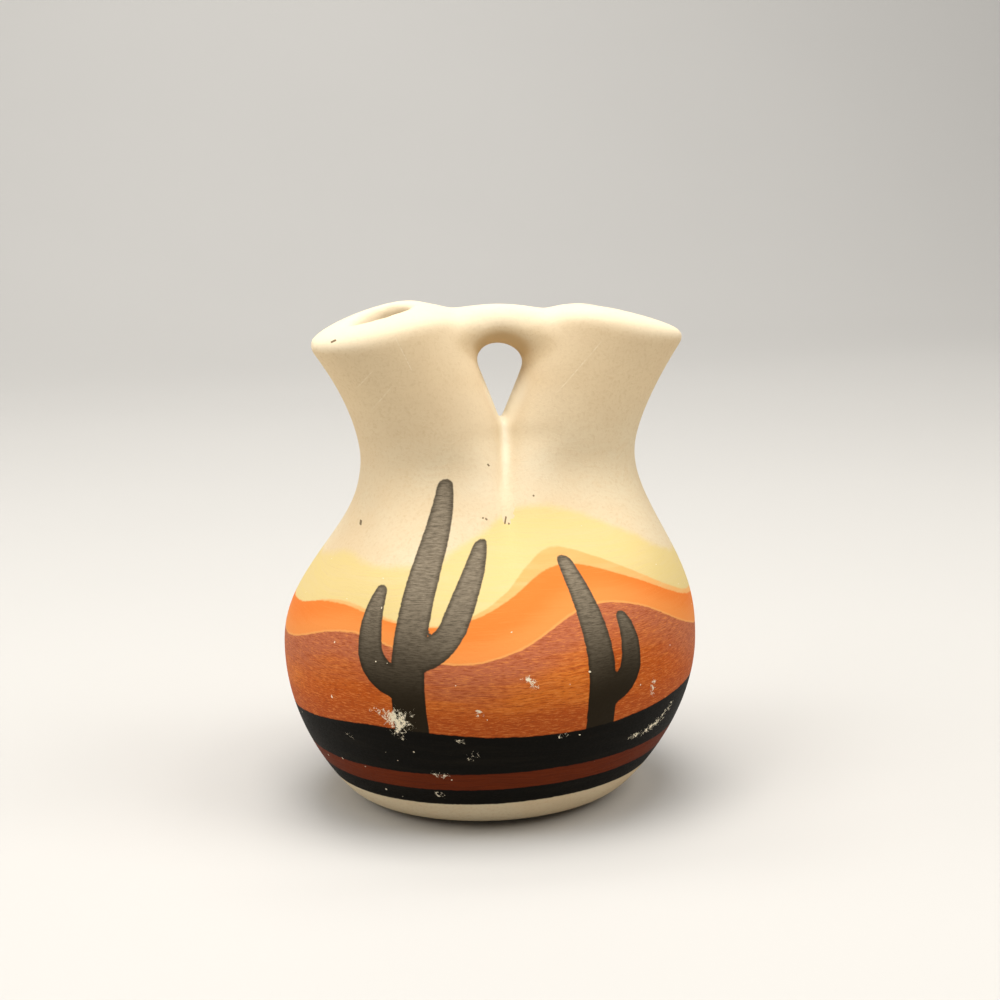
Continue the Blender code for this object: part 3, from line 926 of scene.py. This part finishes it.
def painted_clay():
    """Clay with the hills, the cacti and the stripes painted on it in that order, then the wear."""
    g = Graph("painted_clay")
    clay, relief = clay_colour(g)
    ragged = g.math("SUBTRACT", g.noise(*RAGGED_EDGE), NOISE_MIDDLE)
    wavy = g.math("SUBTRACT", g.noise(*WAVY_EDGE), NOISE_MIDDLE)
    sway = g.swayed(BRUSH_DIRECTION, BRUSH_SWAY, BRUSH_SWAY_SIZE)
    broad = g.noise(*BROAD_STROKES, place=sway)
    fine = g.noise(*FINE_STROKES, place=sway)
    bristles = g.noise(*BRISTLE_MARKS)
    grain = g.noise(*PAINT_GRAIN)
    patches = g.noise(*PAINT_PATCHES)

    def inside(name, deeper=0.0):
        soft, ragged_by, wavy_by = EDGES[name]
        edge = g.math("MULTIPLY_ADD", ragged, ragged_by, g.value(name))
        edge = g.math("MULTIPLY_ADD", wavy, wavy_by, edge)
        return g.step(edge, deeper - soft, deeper + soft)

    # Hills
    on_yellow = inside("yellow")
    cover = g.both(g.step(fine, *YELLOW_COVER), g.step(broad, *YELLOW_COVER_BROAD))
    yellow = g.mix(g.step(fine, *YELLOW_STROKES), YELLOW, YELLOW_DEEP)
    colour = g.mix(g.both(on_yellow, cover), clay, yellow)
    peach = g.both(inside("peach"), g.step(broad, *PEACH_COVER))
    colour = g.mix(peach, colour, PEACH)
    low_orange = g.math("MULTIPLY_ADD", broad, ORANGE_LOW_WAVE, g.value("rust"))
    orange = g.mix(g.step(low_orange, *ORANGE_LOW), ORANGE, ORANGE_PALE)
    orange = g.mix(g.step(fine, *ORANGE_STROKES), orange, ORANGE_PALE)
    colour = g.mix(inside("orange"), colour, orange)
    colour = g.mix(g.both(inside("rust"), RUST_EDGE_STRENGTH), colour, PEACH)
    rust = rust_colour(g, broad, fine, bristles, grain, patches)
    colour = g.mix(inside("rust", RUST_EDGE), colour, rust)

    # Cacti, ground and stripes
    on_cactus = inside("cactus")
    colour = g.mix(on_cactus, colour, cactus_colour(g, bristles, patches))
    black = g.mix(g.step(broad, *BLACK_STROKES), BLACK, BLACK_THIN)
    colour = g.mix(inside("ground"), colour, black)
    red = g.mix(g.step(fine, *RED_STROKES), RED_DARK, RED)
    colour = g.mix(inside("red"), colour, red)
    colour = g.mix(inside("black"), colour, black)
    bare = inside("bare")
    colour = g.mix(bare, colour, clay)

    # Lost paint and pits
    flakes = g.math("MULTIPLY_ADD", g.noise(*FLAKES), FLAKE_SIZE, FLAKE_SHIFT)
    chips = g.step(g.math("ADD", g.value("chips"), flakes), -FLAKE_SOFTNESS, FLAKE_SOFTNESS)
    painted = g.math("MAXIMUM", on_yellow, on_cactus)
    painted = g.both(painted, g.math("SUBTRACT", 1.0, bare))
    specks = g.both(g.step(g.noise(*SPECKS), *SPECK_LEVEL), painted)
    lost = g.math("MAXIMUM", chips, specks)
    colour = g.mix(lost, colour, PLASTER)
    pits = g.scratches(PITS, PIT_WIDTH)
    colour = g.mix(g.step(pits, *PIT_LEVEL), colour, NICK)

    g.set("Base Color", colour)
    roughness = g.step(grain, *ROUGH_GRAIN, *CLAY_ROUGHNESS)
    g.set("Roughness", g.math("MULTIPLY_ADD", painted, PAINT_SMOOTHER, roughness))
    g.set("Specular IOR Level", SPECULAR)
    relief = g.math("MULTIPLY_ADD", g.both(fine, painted), BRUSH_RELIEF, relief)
    relief = g.math("MULTIPLY_ADD", g.math("ADD", lost, pits), LOSS_RELIEF, relief)
    inputs = {"Strength": RELIEF_STRENGTH, "Distance": RELIEF_DEPTH, "Height": relief}
    bumps = g.node("ShaderNodeBump", inputs)
    g.set("Normal", bumps.outputs["Normal"])
    return g.material


def vase_skin():
    """The painted skin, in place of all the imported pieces."""
    mesh = vase_mesh()
    count = len(mesh.vertices)
    points, normals = np.empty(3 * count), np.empty(3 * count)
    mesh.vertices.foreach_get("co", points)
    mesh.vertices.foreach_get("normal", normals)
    for name, values in paint_maps(points.reshape(-1, 3), normals.reshape(-1, 3)).items():
        attribute = mesh.attributes.new(name, "FLOAT", "POINT")
        attribute.data.foreach_set("value", values.astype(np.float32))
    obj = bpy.data.objects.new("vase_skin", mesh)
    bpy.context.scene.collection.objects.link(obj)
    smooth = obj.modifiers.new("smooth", "SMOOTH")
    smooth.iterations = SMOOTHING_STEPS
    mesh.shade_smooth()
    mesh.materials.append(painted_clay())
    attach(obj, "root")
    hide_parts("base_slab", "body", "left_spout", "right_spout", "bridge_handle")


# Camera and stage

CAMERA_DISTANCE = 0.5057
CAMERA_HEIGHT = 0.1741
CAMERA_AZIMUTH = math.radians(-9.0)
CAMERA_PITCH = math.radians(11.02)
CAMERA_TURN = math.radians(0.40)
CAMERA_ROLL = math.radians(1.5)
CAMERA_SENSOR = 36.0
CAMERA_CLIP = (0.01, 20.0)
FIELD_OF_VIEW = math.radians(28.0)

# Floor that curves up into a backdrop
FLOOR_HALF_WIDTH = 3.0
FLOOR_FRONT = -2.5
BEND_START = 0.9
BEND_RADIUS = 0.8
BEND_STEPS = 16
BACKDROP_TOP = 3.0
PAPER = (0.53, 0.522, 0.507)
PAPER_PALE = (0.56, 0.552, 0.536)
PAPER_ROUGHNESS = 0.9

# Lamps: name, place, target, power in watts, size and colour
VASE_MIDDLE = (0, 0, 0.06)
BACKDROP_MIDDLE = (0, 1.6, 0.5)
WARM_WHITE = (1.0, 0.97, 0.92)
SOFT_WHITE = (1.0, 0.98, 0.95)
LAMPS = (
    ("overhead", (-0.05, -0.12, 0.85), VASE_MIDDLE, 7.2, 0.60, WARM_WHITE),
    ("left", (-0.8, -0.4, 0.9), VASE_MIDDLE, 3.9, 0.80, WARM_WHITE),
    ("right", (0.8, -0.4, 0.9), VASE_MIDDLE, 7.8, 0.80, WARM_WHITE),
    ("left_edge", (-0.9, 0.3, 0.4), VASE_MIDDLE, 3.0, 0.70, WARM_WHITE),
    ("backdrop", (0.0, 0.75, 1.5), BACKDROP_MIDDLE, 14.0, 0.8, SOFT_WHITE),
)
ROOM_LIGHT = 0.20


def camera():
    """The photograph's viewing angle."""
    data = bpy.data.cameras.new("camera")
    data.sensor_width = CAMERA_SENSOR
    data.lens = 0.5 * data.sensor_width / math.tan(0.5 * FIELD_OF_VIEW)
    data.clip_start, data.clip_end = CAMERA_CLIP
    obj = bpy.data.objects.new("camera", data)
    obj.location = (
        CAMERA_DISTANCE * math.sin(CAMERA_AZIMUTH),
        -CAMERA_DISTANCE * math.cos(CAMERA_AZIMUTH),
        CAMERA_HEIGHT,
    )
    aim = Euler((0.5 * math.pi - CAMERA_PITCH, 0.0, CAMERA_AZIMUTH - CAMERA_TURN)).to_matrix()
    obj.rotation_euler = (aim @ Matrix.Rotation(-CAMERA_ROLL, 3, "Z")).to_euler()
    bpy.context.scene.collection.objects.link(obj)
    bpy.context.scene.camera = obj


def sweep():
    """A pale floor that curves up into a backdrop behind the vase."""
    profile = [(FLOOR_FRONT, 0.0), (BEND_START, 0.0)]
    for i in range(1, BEND_STEPS + 1):
        a = 0.5 * math.pi * i / BEND_STEPS
        profile.append((BEND_START + BEND_RADIUS * math.sin(a), BEND_RADIUS * (1 - math.cos(a))))
    profile.append((BEND_START + BEND_RADIUS, BACKDROP_TOP))
    sides = (-FLOOR_HALF_WIDTH, FLOOR_HALF_WIDTH)
    points = [(x, y, z) for y, z in profile for x in sides]
    faces = [(2 * i, 2 * i + 1, 2 * i + 3, 2 * i + 2) for i in range(len(profile) - 1)]
    mesh = bpy.data.meshes.new("floor")
    mesh.from_pydata(points, [], faces)
    mesh.shade_smooth()
    g = Graph("pale_paper")
    g.set("Base Color", g.mix(g.noise(*PAPER_CLOUDS), PAPER, PAPER_PALE))
    g.set("Roughness", PAPER_ROUGHNESS)
    mesh.materials.append(g.material)
    obj = bpy.data.objects.new("floor", mesh)
    bpy.context.scene.collection.objects.link(obj)


def lamp(name, place, target, power, size, colour):
    """A soft square lamp that faces its target."""
    light = bpy.data.lights.new(name, "AREA")
    light.energy = power
    light.size = size
    light.color = colour
    obj = bpy.data.objects.new(name, light)
    obj.location = place
    aim = Vector(target) - Vector(place)
    obj.rotation_euler = aim.to_track_quat("-Z", "Y").to_euler()
    bpy.context.scene.collection.objects.link(obj)


def stage():
    """The floor, the lamps and a little light from all around."""
    sweep()
    for settings in LAMPS:
        lamp(*settings)
    world = bpy.data.worlds.new("studio")
    world.use_nodes = True
    background = world.node_tree.nodes["Background"]
    background.inputs["Color"].default_value = (*SOFT_WHITE, 1.0)
    background.inputs["Strength"].default_value = ROOM_LIGHT
    bpy.context.scene.world = world
    bpy.context.scene.view_settings.view_transform = "Standard"


camera()
vase_skin()
stage()
